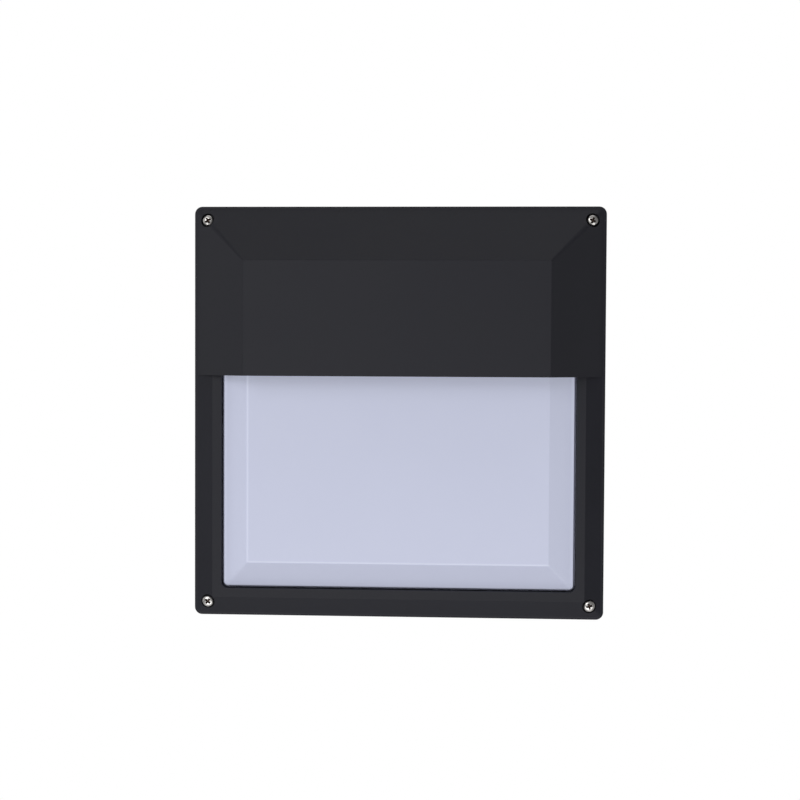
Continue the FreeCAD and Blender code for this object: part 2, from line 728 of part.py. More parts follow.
def earth_point():
    """Ring lug, washer and screw on the earth boss."""
    lug = new_piece("earth_lug")
    floor = "earth_boss_depth"
    pad_circles(lug, "ring", EARTH_PLACE, "lug_radius", floor, f"{floor} + lug_thickness")
    tongue = new_sketch(lug, "tongue", floor)
    end = "earth_up - lug_radius - lug_barrel_length"
    add_rectangle(tongue, "earth_across - 1.6", "earth_across + 1.6", f"{end} + 0.5", "earth_up - 2.5")
    pad(lug, tongue, "lug_thickness")
    cut_circles(lug, "hole", EARTH_PLACE, "screw_clearance", floor, f"{floor} + lug_thickness")
    barrel = new_sketch(lug, "barrel", end, "XY_Plane")
    add_circle(barrel, "lug_barrel_radius", "earth_across", f"-({floor} + lug_barrel_radius)")
    pad(lug, barrel, "lug_barrel_length - 1.5")
    bore = new_sketch(lug, "barrel_bore", end, "XY_Plane")
    add_circle(bore, "wire_radius + 0.1", "earth_across", f"-({floor} + lug_barrel_radius)")
    pocket(lug, bore, "4", forwards=True)
    washer = new_piece("earth_washer")
    seat = f"{floor} + lug_thickness"
    pad_circles(washer, "disc", EARTH_PLACE, "washer_radius", seat, f"{seat} + washer_thickness")
    cut_circles(washer, "hole", EARTH_PLACE, "screw_clearance", seat, f"{seat} + washer_thickness")
    screw_group("earth_screw", EARTH_PLACE, "screw_radius", "screw_head_radius",
                ("box_wall + 1", f"{seat} + washer_thickness", "screw_head_height - 0.4"))


# ---------------------------------------------------------------- lampholder

def holder_bracket():
    """Bent steel angle: foot on the tray, upright behind the lampholder."""
    body = new_piece("holder_bracket")
    foot_back = "tray_depth + tray_sheet"
    foot = new_sketch(body, "foot", foot_back)
    add_rectangle(foot, "bracket_left", "bracket_foot_right", "-bracket_half_width", "bracket_half_width")
    pad(body, foot, "bracket_sheet")
    upright = new_sketch(body, "upright", "bracket_left", "YZ_Plane")
    shoulder = "-(bracket_top - 8)"
    add_outline(upright, [(f"-({foot_back})", "-bracket_half_width"), (shoulder, "-bracket_half_width"),
                          ("-bracket_top", "-bracket_half_width + 8"),
                          ("-bracket_top", "bracket_half_width - 8"),
                          (shoulder, "bracket_half_width"), (f"-({foot_back})", "bracket_half_width")])
    pad(body, upright, "bracket_sheet")
    cut_circles(body, "foot_holes", BRACKET_PLACES, "screw_clearance",
                foot_back, f"{foot_back} + bracket_sheet")
    holes = new_sketch(body, "holder_holes", "bracket_left + bracket_sheet", "YZ_Plane")
    for level in (-1, 1):
        add_circle(holes, "small_screw_hole", "-lamp_depth", signed(level, "holder_screw_up"))
    pocket(body, holes, "bracket_sheet")
    seat = f"{foot_back} + bracket_sheet"
    screw_group("bracket_screws", BRACKET_PLACES, "screw_radius", "screw_head_radius",
                ("box_wall + 1.2", seat, "screw_head_height - 0.4"))
    nuts = new_piece("bracket_nuts")
    hexagon = new_sketch(nuts, "hexagons", "tray_depth - nut_height")
    for across, up in BRACKET_PLACES:
        points = []
        for corner in range(6):
            lean, rise = math.cos(corner * math.pi / 3), math.sin(corner * math.pi / 3)
            points.append((f"{across} + nut_radius * {lean:.6f}", f"{up} + nut_radius * {rise:.6f}"))
        add_outline(hexagon, points)
    pad(nuts, hexagon, "nut_height")
    cut_circles(nuts, "threads", BRACKET_PLACES, "screw_thread_bore", "tray_depth - nut_height", "tray_depth")
    return body


def turned_about_lamp_axis(label, profile):
    """A piece turned about the lamp's axis; the profile's points are (across, radius)."""
    body = new_piece(label, "0", "lamp_depth", "0")
    sketch = new_sketch(body, "section", "0", "XY_Plane")
    add_outline(sketch, profile)
    turn(body, sketch, "H_Axis")
    return body


def lampholder_body():
    """Porcelain E27 holder: round shell, thread chamber in front, terminal bay open below."""
    back = "bracket_left + bracket_sheet"
    body = turned_about_lamp_axis("lampholder_body", [
        (back, "0"), (back, "holder_radius - 2"), (f"{back} + 2", "holder_radius"),
        ("holder_mouth - 3", "holder_radius"), ("holder_mouth", "holder_radius - 1.5"),
        ("holder_mouth", "holder_bore"), ("holder_floor", "holder_bore"), ("holder_floor", "0")])
    bay = new_sketch(body, "bay", "-holder_radius - 1", "XY_Plane")
    add_rectangle(bay, "holder_bay_left", "holder_bay_right", "-holder_bay_half", "holder_bay_half")
    pocket(body, bay, "holder_radius + 1 + holder_bay_top", forwards=True)
    bores = new_sketch(body, "screw_bores", back, "YZ_Plane")
    for level in (-1, 1):
        add_circle(bores, "small_screw_bore", "0", signed(level, "holder_screw_up"))
    pocket(body, bores, f"holder_bay_left - ({back}) - 1", forwards=True)
    return body


def lampholder_metal():
    """Thread sleeve, centre contact, wire terminals and their screws, and the fixing screws."""
    turned_about_lamp_axis("lampholder_sleeve", [
        ("sleeve_back", "sleeve_inner"), ("sleeve_front", "sleeve_inner"), ("sleeve_front", "sleeve_outer"),
        ("sleeve_back", "sleeve_outer")])
    contact = new_piece("lampholder_contact", "0", "lamp_depth", "0")
    strip = new_sketch(contact, "strip", "-2.5", "XY_Plane")
    floor, tip = "holder_floor", "lamp_tip"
    add_outline(strip, [(floor, "-9"), (floor, "3"), (f"{tip} - 0.5", "3"), (f"{tip}", "2"), (f"{tip}", "-2"),
                        (f"{tip} - 0.5", "-2"), (f"{floor} + 0.5", "-5"), (f"{floor} + 0.5", "-9")])
    pad(contact, strip, "5")
    terminals = new_piece("lampholder_terminals", "0", "lamp_depth", "0")
    blocks = new_sketch(terminals, "blocks", "terminal_bottom", "XY_Plane")
    holes = []
    for side in (-1, 1):
        middle = signed(side, "terminal_offset")
        add_rectangle(blocks, "terminal_left", "terminal_right",
                      f"{middle} - terminal_half", f"{middle} + terminal_half")
        holes.append(("terminal_wire_across", middle))
    pad(terminals, blocks, "terminal_top - terminal_bottom")
    bores = new_sketch(terminals, "wire_bores", "terminal_bottom", "XY_Plane")
    for across, up in holes:
        add_circle(bores, "wire_radius + 0.2", across, up)
        add_circle(bores, "small_screw_bore", "terminal_screw_across", up)
    pocket(terminals, bores, "7", forwards=True)
    screws = new_piece("lampholder_terminal_screws", "0", "lamp_depth", "0")
    shanks = new_sketch(screws, "shanks", "terminal_bottom - 0.5", "XY_Plane")
    heads = new_sketch(screws, "heads", "terminal_bottom - 2", "XY_Plane")
    for across, up in holes:
        add_circle(shanks, "small_screw_radius", "terminal_screw_across", up)
        add_circle(heads, "small_screw_radius + 0.9", "terminal_screw_across", up)
    pad(screws, shanks, "6")
    pad(screws, heads, "1.9")
    fixing = new_piece("lampholder_fixing_screws", "0", "lamp_depth", "0")
    shanks = new_sketch(fixing, "shanks", "bracket_left", "YZ_Plane")
    heads = new_sketch(fixing, "heads", "bracket_left - small_head_height", "YZ_Plane")
    for level in (-1, 1):
        add_circle(shanks, "small_screw_radius", "0", signed(level, "holder_screw_up"))
        add_circle(heads, "small_head_radius", "0", signed(level, "holder_screw_up"))
    pad(fixing, heads, "small_head_height")
    pad(fixing, shanks, "5")


# ---------------------------------------------------------------- lamp

def lamp():
    """E27 lamp: contact pip, black insulator, threaded cap, collar and opal globe."""
    pip_front = "lamp_tip + pip_length"
    turned_about_lamp_axis("lamp_contact", [
        ("lamp_tip", "0"), ("lamp_tip", "pip_radius - 1"), ("lamp_tip + 0.6", "pip_radius"),
        (pip_front, "pip_radius"), (pip_front, "0")])
    turned_about_lamp_axis("lamp_insulator", [
        (pip_front, "0"), (pip_front, "pip_radius + 0.6"),
        ("cap_back", "cap_radius - 2.2"), ("cap_back", "0")])
    turned_about_lamp_axis("lamp_cap", [
        ("cap_back", "cap_radius - 4"), ("cap_back", "cap_radius - 2"), ("cap_back + 2", "cap_radius"),
        ("cap_front", "cap_radius"), ("cap_front", "cap_radius - 0.8"),
        ("cap_back + 2.4", "cap_radius - 0.8"), ("cap_back + 0.8", "cap_radius - 4")])
    seam = "sqrt(globe_radius ^ 2 - (globe_centre - collar_front) ^ 2)"
    inside = f"{seam} - collar_wall"
    turned_about_lamp_axis("lamp_collar", [
        ("cap_front", "6"), ("cap_front", "collar_back_radius"),
        ("cap_front + 5", "collar_back_radius + 0.8"), ("collar_front - 18", f"0.75 * {seam}"),
        ("collar_front - 6", f"0.95 * {seam}"), ("collar_front", seam), ("collar_front", inside),
        ("collar_front - board_set_back", inside), ("collar_front - board_set_back", "19"),
        ("collar_front - board_set_back - 2", "19"), ("collar_front - 18", f"0.75 * {seam} - collar_wall"),
        ("cap_front + 5", "collar_back_radius - 1"), ("cap_front + 2", "6")])
    turned_about_lamp_axis("lamp_board", [
        ("collar_front - board_set_back", "0"), ("collar_front - board_set_back", f"{inside} - 0.4"),
        ("collar_front - board_set_back + board_thickness", f"{inside} - 0.4"),
        ("collar_front - board_set_back + board_thickness", "0")])
    lamp_globe()


def lamp_globe():
    """Thin opal globe, open where it sits on the collar."""
    body = new_piece("lamp_globe", "globe_centre", "lamp_depth", "0")
    ball = body.newObject("PartDesign::AdditiveSphere", "ball")
    bind(ball, "Radius", "globe_radius")
    hollow = body.newObject("PartDesign::SubtractiveSphere", "hollow")
    bind(hollow, "Radius", "globe_radius - globe_wall")
    cut = new_sketch(body, "cut", "collar_front - globe_centre", "YZ_Plane")
    add_circle(cut, "globe_radius + 2")
    pocket(body, cut, "globe_radius")


# ---------------------------------------------------------------- terminal block and wires

def pole_heights():
    return [f"block_up + {step} * block_pitch" for step in (-1, 0, 1)]


def terminal_block():
    """Three-pole screw terminal block, poles lying along X."""
    body = new_piece("terminal_block")
    floor = "tray_depth + tray_sheet"
    left, right = "block_across - block_half_length", "block_across + block_half_length"
    strip = new_sketch(body, "strip", floor)
    add_rectangle(strip, f"{left} + 1", f"{right} - 1",
                  "block_up - 1.4 * block_pitch", "block_up + 1.4 * block_pitch")
    pad(body, strip, "block_axis - tray_depth - tray_sheet - 1")
    barrels = new_sketch(body, "barrels", left, "YZ_Plane")
    for up in pole_heights():
        add_circle(barrels, "barrel_radius", "-block_axis", up)
    pad(body, barrels, "2 * block_half_length")
    towers = []
    for up in pole_heights():
        towers += [(f"block_across + {signed(side, 'tower_place')}", up) for side in (-1, 1)]
    pad_circles(body, "towers", towers, "tower_radius", "block_axis", "tower_top")
    bores = new_sketch(body, "tube_bores", right, "YZ_Plane")
    for up in pole_heights():
        add_circle(bores, "tube_radius + 0.05", "-block_axis", up)
    pocket(body, bores, "2 * block_half_length")
    cut_circles(body, "screw_bores", towers, "clamp_screw_radius + 0.05", "block_axis", "tower_top")
    cut_circles(body, "fixing_holes", BLOCK_SCREW_PLACES, "small_screw_hole", floor, "block_axis - 1")
    cut_circles(body, "head_room", BLOCK_SCREW_PLACES, "small_screw_radius + 0.6",
                "block_axis - 1", "tower_top")
    add_block_metal(towers)
    seat = "block_axis - 1"
    screw_group("terminal_block_screws", BLOCK_SCREW_PLACES, "small_screw_radius", "small_screw_radius + 0.4",
                ("tray_depth - 2", seat, "small_head_height - 0.4"))


def add_block_metal(towers):
    """Brass tubes with two clamping screws each."""
    tubes = new_piece("terminal_tubes")
    rods = new_sketch(tubes, "rods", "block_across - block_half_length + 1.5", "YZ_Plane")
    for up in pole_heights():
        add_circle(rods, "tube_radius", "-block_axis", up)
        add_circle(rods, "tube_bore", "-block_axis", up)
    pad(tubes, rods, "2 * block_half_length - 3")
    cut_circles(tubes, "screw_bores", towers, "clamp_screw_radius + 0.05",
                "block_axis", "block_axis + tube_radius")
    screws = new_piece("terminal_screws")
    pad_circles(screws, "grub_screws", towers, "clamp_screw_radius",
                "block_axis + wire_radius + 0.1", "clamp_screw_top")


def wire_route(points):
    """Straight runs joined by tangent arcs, each arc as large as its two runs allow."""
    edges = []
    start = points[0]
    for before, corner, after in zip(points, points[1:], points[2:]):
        incoming, outgoing = (before - corner), (after - corner)
        reach = 0.45 * min(incoming.Length, outgoing.Length)
        incoming.normalize()
        outgoing.normalize()
        first, last = corner + incoming * reach, corner + outgoing * reach
        half_turn = (math.pi - incoming.getAngle(outgoing)) / 2
        radius = reach / math.tan(half_turn)
        inward = incoming + outgoing
        inward.normalize()
        middle = corner + inward * (radius / math.cos(half_turn) - radius)
        edges.append(Part.LineSegment(start, first).toShape())
        edges.append(Part.Arc(first, middle, last).toShape())
        print(f"bend radius {radius:.1f} mm")
        start = last
    edges.append(Part.LineSegment(start, points[-1]).toShape())
    return Part.Wire(edges)


def wire(label, points):
    """Insulated wire of round section along its route; points are (across, depth, up)."""
    radius = size("wire_radius")
    places = [FreeCAD.Vector(across, -depth, up) for across, depth, up in points]
    route = wire_route(places)
    section = Part.Wire(Part.Circle(places[0], places[1] - places[0], radius).toShape())
    solid = route.makePipeShell([section], True, True)
    expected = math.pi * radius ** 2 * route.Length
    if abs(solid.Volume - expected) > 0.01 * expected:
        raise RuntimeError(f"{label}: volume {solid.Volume:.1f}, expected {expected:.1f}")
    feature = document.addObject("Part::Feature", label)
    feature.Label = label
    feature.Shape = solid
    feature.Placement = FreeCAD.Placement()
    pieces.append(feature)


def internal_wires():
    """Earth wire to the lug, live and neutral wires to the lampholder's terminals."""
    start = size("block_across - block_half_length + 5")
    axis = size("block_axis")
    neutral_up, live_up, earth_up = [size(up) for up in pole_heights()]
    lug_across = size("earth_across")
    lug_depth = size("earth_boss_depth + lug_barrel_radius")
    lug_end = size("earth_up - lug_radius - lug_barrel_length")
    wire("earth_wire", [(start, axis, earth_up), (start - 14, axis, earth_up),
                        (lug_across, lug_depth + 0.4, earth_up + 6), (lug_across, lug_depth, lug_end + 3.5)])
    across = size("terminal_wire_across")
    near, far = size("lamp_depth - terminal_offset"), size("lamp_depth + terminal_offset")
    end = size("terminal_bottom + 5")
    wire("live_wire", [(start, axis, live_up), (start - 20, axis, live_up - 1),
                       (start - 40, axis + 3, live_up + 13), (across - 1, near - 8, live_up + 36),
                       (across, near, live_up + 59), (across, near, end)])
    wire("neutral_wire", [(start, axis, neutral_up), (start - 22, axis, neutral_up - 3),
                          (start - 46, axis + 4, neutral_up + 5), (across - 8, axis + 15, neutral_up + 28),
                          (across - 6, far - 6, neutral_up + 52), (across, far, neutral_up + 73),
                          (across, far, end)])


# ---------------------------------------------------------------- whole lantern

def check_document():
    """Every feature must be up to date and every piece a valid shape."""
    document.recompute()
    for thing in document.Objects:
        if "Invalid" in thing.State or "Error" in thing.State:
            raise RuntimeError(f"{thing.Label} failed: {thing.State}")
    for piece in pieces:
        shape = piece.Shape
        if shape.isNull() or not shape.isValid():
            raise RuntimeError(f"{piece.Label}: shape is null or not valid")
        print(f"{piece.Label}: {len(shape.Solids)} solids, {shape.Volume:.1f} mm3")


def build():
    fill_sheet()
    base_housing()
    main_gasket()
    cable_grommet()
    reflector_tray()
    earth_point()
    holder_bracket()
    lampholder_body()
    lampholder_metal()
    terminal_block()
    internal_wires()
    lamp()
    front_cover()
    diffuser_gasket()
    diffuser()
    diffuser_fasteners()
    cover_fasteners()
    check_document()
    os.makedirs("parts", exist_ok=True)
    for piece in pieces:
        piece.Shape.exportStep(f"parts/{piece.Label}.step")


build()
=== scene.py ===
import json
import math

import bmesh
import bpy
from mathutils import Matrix, Vector


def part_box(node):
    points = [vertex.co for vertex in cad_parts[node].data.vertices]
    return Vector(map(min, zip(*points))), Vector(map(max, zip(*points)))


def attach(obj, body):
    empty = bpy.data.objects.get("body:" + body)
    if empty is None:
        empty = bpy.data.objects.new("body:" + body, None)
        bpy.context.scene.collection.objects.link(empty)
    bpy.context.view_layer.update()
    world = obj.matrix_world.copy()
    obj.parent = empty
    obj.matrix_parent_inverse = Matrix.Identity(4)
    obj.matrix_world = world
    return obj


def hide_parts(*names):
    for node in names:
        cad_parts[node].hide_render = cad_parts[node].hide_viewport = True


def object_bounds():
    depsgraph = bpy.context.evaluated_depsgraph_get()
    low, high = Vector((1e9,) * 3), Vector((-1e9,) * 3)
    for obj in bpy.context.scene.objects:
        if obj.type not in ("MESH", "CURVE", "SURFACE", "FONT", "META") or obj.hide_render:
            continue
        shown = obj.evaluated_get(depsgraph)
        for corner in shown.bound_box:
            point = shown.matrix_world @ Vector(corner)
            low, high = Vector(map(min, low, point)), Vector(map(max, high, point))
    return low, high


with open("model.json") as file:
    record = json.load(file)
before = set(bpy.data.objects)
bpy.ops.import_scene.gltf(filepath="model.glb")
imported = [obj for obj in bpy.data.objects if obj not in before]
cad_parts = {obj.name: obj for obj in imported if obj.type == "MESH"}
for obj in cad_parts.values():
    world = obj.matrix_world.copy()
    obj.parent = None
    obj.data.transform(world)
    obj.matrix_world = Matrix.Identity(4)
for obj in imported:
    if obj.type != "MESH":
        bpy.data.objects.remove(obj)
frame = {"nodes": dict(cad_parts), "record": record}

MM = 0.001
TURN = 2 * math.pi
SMOOTH_BELOW = math.radians(34)
cad_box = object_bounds()
nodes = frame["nodes"]


# ---------------------------------------------------------------- shader maths

class Shade:
    """A socket of a material's node tree.  Sums on it add Math nodes; node() adds any other node."""

    def __init__(self, tree, socket=None):
        self.tree = tree
        self.socket = socket

    def node(self, kind, settings=None, inputs=None, output=0):
        made = self.tree.nodes.new(kind)
        for name, setting in (settings or {}).items():
            if name == "stops":
                self.set_stops(made.color_ramp, setting)
            else:
                setattr(made, name, setting)
        for name, value in (inputs or {}).items():
            if isinstance(value, Shade):
                self.tree.links.new(value.socket, made.inputs[name])
            else:
                made.inputs[name].default_value = value
        return Shade(self.tree, made.outputs[output])

    @staticmethod
    def set_stops(ramp, stops):
        while len(ramp.elements) < len(stops):
            ramp.elements.new(1.0)
        for element, (place, level) in zip(ramp.elements, stops):
            element.position = place
            element.color = (level, level, level, 1)

    def math(self, operation, first, second=0.0):
        return self.node("ShaderNodeMath", {"operation": operation}, {0: first, 1: second})

    def __add__(self, other):
        return self.math("ADD", self, other)

    def __sub__(self, other):
        return self.math("SUBTRACT", self, other)

    def __rsub__(self, other):
        return self.math("SUBTRACT", other, self)

    def __mul__(self, other):
        return self.math("MULTIPLY", self, other)

    __radd__ = __add__
    __rmul__ = __mul__

    def noise(self, size, detail=3.0, roughness=0.55):
        """Noise from 0 to 1 with grains of about that size in metres."""
        inputs = {"Vector": self, "Scale": 1 / size, "Detail": detail, "Roughness": roughness}
        return self.node("ShaderNodeTexNoise", None, inputs)

    def axis(self, number):
        """One coordinate of a point or direction."""
        return self.node("ShaderNodeSeparateXYZ", None, {"Vector": self}, output=number)

    def stretched(self, x, y, z):
        return self.node("ShaderNodeMapping", None, {"Vector": self, "Scale": (x, y, z)})

    def between(self, stops):
        return self.node("ShaderNodeValToRGB", {"stops": stops}, {"Fac": self})

    def blend(self, low, high):
        """A colour between low and high by this value."""
        inputs = {0: self, 6: (*low, 1), 7: (*high, 1)}
        return self.node("ShaderNodeMix", {"data_type": "RGBA"}, inputs, output=2)

    def bump(self, depth, strength=1.0):
        return self.node("ShaderNodeBump", None, {"Height": self, "Distance": depth, "Strength": strength})


def material(name, constants, varying):
    """A Principled material: constants sit on the shader's own sockets, varying(point) gives the rest."""
    made = bpy.data.materials.new(name)
    made.use_nodes = True
    tree = made.node_tree
    shader = tree.nodes["Principled BSDF"]
    for socket, value in constants.items():
        shader.inputs[socket].default_value = value
    point = Shade(tree).node("ShaderNodeTexCoord", output="Object")
    for socket, shade in varying(point).items():
        tree.links.new(shade.socket, shader.inputs[socket])
    return made


# ---------------------------------------------------------------- finishes

def powder_coat():
    """Charcoal fine-texture powder coat: tiny beads, slight orange peel, a little dust-grey variation."""
    def varying(point):
        beads = point.noise(0.35 * MM, detail=2.0)
        peel = point.noise(1.6 * MM, detail=2.0)
        cloud = point.noise(45 * MM, detail=3.0)
        tone = 0.55 * cloud + 0.45 * beads
        relief = 0.65 * beads + 0.35 * peel
        return {
            "Base Color": tone.blend((0.0128, 0.0132, 0.0196), (0.0224, 0.0230, 0.0340)),
            "Roughness": 0.48 + 0.12 * cloud + 0.08 * beads,
            "Normal": relief.bump(0.05 * MM, 0.55),
        }
    return material("charcoal_powder_coat", {"Specular IOR Level": 0.45}, varying)


# half widths of the diffuser's flat face and of its whole front, and how its painted glow (emission on a
# diffuser whose lamp is off) is shared out
FACE_HALF = 102 * MM
OPAL_HALF = 119.1 * MM
PAINTED_OPAL_GLOW = 0.32
PAINTED_GLOW_BODY, PAINTED_RIM_GLOW, PAINTED_CREST_HIGHLIGHT = 0.70, 0.34, 0.50


def opal():
    """Opal polycarbonate: satin and faintly blue, with painted light: a glow to the front though the lamp is
    off, strongest at its edges, a painted highlight along the lower left crest and painted shade on
    down-facing bevels.
    """
    fold = FACE_HALF / OPAL_HALF

    def varying(point):
        cloud = point.noise(60 * MM, detail=2.0)
        satin = point.noise(0.5 * MM, detail=2.0)
        across, up = point.axis(0), point.axis(2)
        farther = point.math("MAXIMUM", point.math("ABSOLUTE", across), point.math("ABSOLUTE", up))
        reach = farther * (1 / OPAL_HALF)
        surface = point.node("ShaderNodeNewGeometry", output="Normal")
        facing_front = 0 - surface.axis(1)
        # painted shade: faces that turn downwards get less glow
        underside_painted_shade = (0 - surface.axis(2)).between([(0.0, 1.0), (0.38, 0.6)])
        low_left = point.math("MAXIMUM", 0 - across, 0 - up) * (1 / OPAL_HALF)
        # painted light: the glow brightens over the last few millimetres to the outer edge
        rim = reach.between([(0.975, 0.0), (0.992, 0.8), (1.0, 1.0)])
        clear = reach.between([(0.999, 1.0), (1.003, 0.0)])
        # painted highlight: a thin bright line along the crest where the face meets the lower and left bevels
        crest = low_left.between([(fold - 0.009, 0.0), (fold, 1.0), (fold + 0.007, 0.0)])
        crest = crest * reach.between([(fold + 0.004, 1.0), (fold + 0.010, 0.0)])
        seen = facing_front.between([(0.25, 0.0), (0.6, 1.0)])
        # painted light: the diffuser's front glows by emission though the lamp is off; seen and clear keep
        # the glow to front faces inside the outer edge
        glow = seen * clear * underside_painted_shade * (PAINTED_GLOW_BODY + PAINTED_RIM_GLOW * rim + PAINTED_CREST_HIGHLIGHT * crest)
        return {
            "Base Color": cloud.blend((0.64, 0.67, 0.85), (0.66, 0.69, 0.87)),
            "Emission Color": glow.blend((0, 0, 0), (0.79, 0.83, 1.0)),
            "Roughness": 0.28 + 0.05 * cloud + 0.05 * satin,
            "Normal": (0.7 * point.noise(14 * MM, detail=1.0) + 0.3 * satin).bump(0.02 * MM, 0.25),
        }
    constants = {"Emission Strength": PAINTED_OPAL_GLOW, "Coat Roughness": 0.2}
    return material("opal_polycarbonate", constants, varying)


def rubber(name, dark, light):
    def varying(point):
        grain = point.noise(0.6 * MM, detail=4.0)
        bloom = point.noise(9 * MM, detail=3.0)
        return {
            "Base Color": bloom.blend(dark, light),
            "Roughness": 0.62 + 0.2 * grain,
            "Normal": grain.bump(0.05 * MM, 0.4),
        }
    return material(name, {"Specular IOR Level": 0.35}, varying)


def bare_metal(name, dark, light, roughness, stretch=(1, 1, 1), grain=0.12 * MM):
    """Metal with fine machining or rolling marks; stretch draws the marks out along an axis."""
    def varying(point):
        marks = point.stretched(*stretch).noise(grain, detail=3.0)
        stain = point.noise(3 * MM, detail=3.0)
        return {
            "Base Color": stain.blend(dark, light),
            "Roughness": roughness + 0.12 * marks + 0.08 * stain,
            "Normal": marks.bump(0.01 * MM, 0.35),
        }
    return material(name, {"Metallic": 1.0}, varying)


def glazed(name, dark, light, roughness, peel=4 * MM):
    """Glaze, enamel or gloss plastic with a slow ripple and small tone changes."""
    def varying(point):
        ripple = point.noise(peel, detail=2.0)
        tone = point.noise(18 * MM, detail=3.0)
        return {
            "Base Color": tone.blend(dark, light),
            "Roughness": roughness + 0.08 * tone,
            "Normal": ripple.bump(0.04 * MM, 0.3),
        }
    return material(name, {"Coat Weight": 0.25, "Coat Roughness": 0.12}, varying)


def moulded(name, dark, light, roughness):
    """Spark-eroded moulded plastic."""
    def varying(point):
        spark = point.noise(0.4 * MM, detail=3.0)
        tone = point.noise(12 * MM, detail=2.0)
        return {
            "Base Color": tone.blend(dark, light),
            "Roughness": roughness + 0.12 * spark,
            "Normal": spark.bump(0.02 * MM, 0.35),
        }
    return material(name, {}, varying)


STRIPE_RATE = 420


def earth_stripes():
    """Green and yellow insulation: the colours share the wire's round in two bands."""
    def varying(point):
        across = point.stretched(STRIPE_RATE, STRIPE_RATE, STRIPE_RATE)
        band = across.node("ShaderNodeTexWave", {"wave_type": "BANDS", "bands_direction": "DIAGONAL"},
                           {"Vector": across, "Scale": 1.0, "Distortion": 0.0})
        split = band.between([(0.46, 0.0), (0.54, 1.0)])
        return {
            "Base Color": split.blend((0.03, 0.22, 0.03), (0.72, 0.60, 0.03)),
            "Roughness": 0.35 + 0.1 * point.noise(1 * MM),
            "Normal": point.noise(0.8 * MM).bump(0.02 * MM, 0.3),
        }
    return material("earth_insulation", {}, varying)


FINISHES = {
    "powder_coat": powder_coat(),
    "opal_diffuser": opal(),
    "black_rubber": rubber("black_rubber", (0.010, 0.010, 0.010), (0.022, 0.022, 0.023)),
    "grey_silicone": rubber("grey_silicone", (0.22, 0.22, 0.225), (0.30, 0.30, 0.305)),
    "stainless": bare_metal("stainless_steel", (0.80, 0.78, 0.75), (0.92, 0.90, 0.87), 0.20),
    "zinc_steel": bare_metal("zinc_plated_steel", (0.50, 0.50, 0.47), (0.66, 0.66, 0.63), 0.32),
    "white_sheet": glazed("white_enamelled_sheet", (0.76, 0.77, 0.76), (0.82, 0.83, 0.82), 0.25),
    "porcelain": glazed("glazed_porcelain", (0.72, 0.70, 0.65), (0.80, 0.78, 0.74), 0.12, peel=7 * MM),
    "brass": bare_metal("machined_brass", (0.62, 0.42, 0.15), (0.78, 0.56, 0.24), 0.26),
    "tinned_copper": bare_metal("tinned_copper", (0.62, 0.60, 0.57), (0.74, 0.72, 0.69), 0.30),
    "nylon": moulded("natural_nylon", (0.74, 0.71, 0.62), (0.82, 0.79, 0.71), 0.42),
    "live_insulation": glazed("brown_insulation", (0.16, 0.06, 0.022), (0.20, 0.08, 0.03), 0.32),
    "neutral_insulation": glazed("blue_insulation", (0.03, 0.12, 0.42), (0.04, 0.15, 0.50), 0.32),
    "earth_insulation": earth_stripes(),
    "lamp_cap_metal": bare_metal("nickel_plate", (0.66, 0.65, 0.63), (0.78, 0.77, 0.75), 0.2,
                                 stretch=(6, 1, 1)),
    "lamp_insulator": glazed("black_glass", (0.012, 0.012, 0.015), (0.02, 0.02, 0.024), 0.1),
    "lamp_collar": moulded("white_lamp_plastic", (0.76, 0.76, 0.75), (0.82, 0.82, 0.81), 0.35),
    "lamp_globe": moulded("opal_lamp_plastic", (0.80, 0.80, 0.79), (0.85, 0.85, 0.84), 0.4),
    "lamp_board": glazed("white_solder_mask", (0.74, 0.75, 0.73), (0.80, 0.81, 0.79), 0.3),
}

# painted shade: a dull dark brown for the walls and floor of driver recesses and slots, where shade falls
RECESS_PAINTED_SHADE = bare_metal("driver_recess_painted_shade", (0.10, 0.065, 0.05), (0.24, 0.17, 0.14), 0.45)

slot_of = {row["node"]: row["material_slot"] for row in frame["record"]["subparts"]}
for name, node in nodes.items():
    node.data.materials.clear()
    node.data.materials.append(FINISHES[slot_of[name]])


# ---------------------------------------------------------------- shaping tools

def turned(shape, outline, steps=48):
    """Spins an outline of (radius, height) points about Z and merges where its ends meet."""
    points = [shape.verts.new((across, 0, up)) for across, up in outline]
    edges = [shape.edges.new(pair) for pair in zip(points, points[1:])]
    before = set(shape.verts) - set(points)
    bmesh.ops.spin(shape, geom=points + edges, cent=(0, 0, 0), axis=(0, 0, 1), angle=TURN, steps=steps,
                   use_merge=True)
    made = [vert for vert in shape.verts if vert not in before]
    bmesh.ops.remove_doubles(shape, verts=made, dist=1e-7)


def thread(shape, core, crest, pitch, low, high, steps=20):
    """A ridge wound round Z from low to high; its foot is sunk in the core."""
    foot = core - 0.05 * MM
    corners = [(foot, 0), (crest, 0.5 * pitch), (foot, pitch)]
    points = [shape.verts.new((across, 0, low + up)) for across, up in corners]
    edges = [shape.edges.new((points[n], points[(n + 1) % 3])) for n in range(3)]
    turns = (high - low) / pitch - 1
    count = round(turns * steps)
    first = bmesh.ops.contextual_create(shape, geom=points)["faces"]
    bmesh.ops.spin(shape, geom=points + edges + first, cent=(0, 0, 0), axis=(0, 0, 1),
                   dvec=(0, 0, pitch / steps), angle=TURN * count / steps, steps=count)


def cross_mouth(reach, half):
    """Corners of a plus sign, in order round its edge."""
    return [(reach, -half), (reach, half), (half, half), (half, reach), (-half, reach), (-half, half),
            (-reach, half), (-reach, -half), (-half, -half), (-half, -reach), (half, -reach), (half, -half)]


